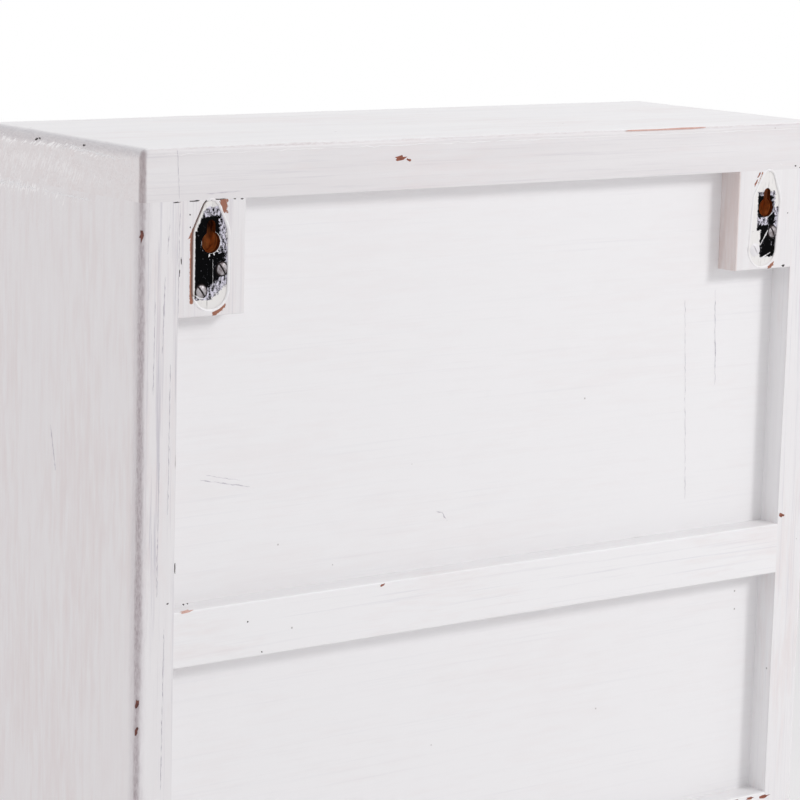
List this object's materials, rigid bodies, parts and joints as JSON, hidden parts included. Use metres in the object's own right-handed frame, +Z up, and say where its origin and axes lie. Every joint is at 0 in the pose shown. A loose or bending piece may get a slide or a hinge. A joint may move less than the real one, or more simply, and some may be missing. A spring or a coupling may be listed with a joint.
{
  "type": "medicine cabinet",
  "caption": "White painted wooden wall cabinet with a framed mirror door on butt hinges, shelves inside and keyhole hanger plates let into blocks on its recessed back.",
  "frame": {"origin": "under the middle of the whole outline, on the plane of the cabinet's bottom", "axes": "+X to the right as seen from the front, +Y out of the back towards the wall, +Z up"},
  "size_m": [0.377, 0.154, 0.48],
  "materials": {
    "white_paint": "hand brushed white paint over red-brown wood, rubbed through at the edges",
    "black_steel": "black lacquered steel with white paint smears",
    "zinc_steel": "dull zinc plating",
    "bright_steel": "bright plating",
    "nail_steel": "bare wire",
    "hinge_brass": "aged brass",
    "mirror": "silvered glass",
    "hardboard": "smooth brown hardboard",
    "catch_plastic": "moulded white plastic",
    "magnet_ferrite": "dark ferrite"
  },
  "bodies": {
    "case": {"top_board": "white_paint", "bottom_board": "white_paint", "left_side": "white_paint", "right_side": "white_paint", "back_panel": "white_paint", "upper_back_rail": "white_paint", "lower_back_rail": "white_paint", "left_hanger_block": "white_paint", "right_hanger_block": "white_paint", "left_hanger_plate": "black_steel", "right_hanger_plate": "black_steel", "left_plate_screws": "zinc_steel", "right_plate_screws": "zinc_steel", "top_nails": "nail_steel", "bottom_nails": "nail_steel", "rail_nails": "nail_steel", "block_nails": "nail_steel", "upper_shelf": "white_paint", "lower_shelf": "white_paint", "left_shelf_cleats": "white_paint", "right_shelf_cleats": "white_paint", "cleat_screws": "zinc_steel", "upper_hinge_case_leaf": "hinge_brass", "upper_hinge_pin": "hinge_brass", "lower_hinge_case_leaf": "hinge_brass", "lower_hinge_pin": "hinge_brass", "hinge_case_screws": "hinge_brass", "catch_housing": "catch_plastic", "catch_magnet": "magnet_ferrite", "catch_poles": "bright_steel", "catch_screws": "zinc_steel"},
    "door": {"door_hinge_stile": "white_paint", "door_latch_stile": "white_paint", "door_top_rail": "white_paint", "door_bottom_rail": "white_paint", "mirror_glass": "mirror", "mirror_backing": "hardboard", "mirror_side_beads": "white_paint", "mirror_end_beads": "white_paint", "bead_pins": "nail_steel", "upper_hinge_door_leaf": "hinge_brass", "lower_hinge_door_leaf": "hinge_brass", "hinge_door_screws": "hinge_brass", "door_knob": "white_paint", "knob_screw": "bright_steel", "strike_plate": "bright_steel", "strike_screws": "zinc_steel"}
  },
  "joints": [
    {"name": "door_hinge", "type": "hinge", "parent": "case", "child": "door", "pos_m": [-0.1696, -0.0564, 0.24], "axis": [0, 0, -1], "range_deg": [0, 170]}
  ]
}
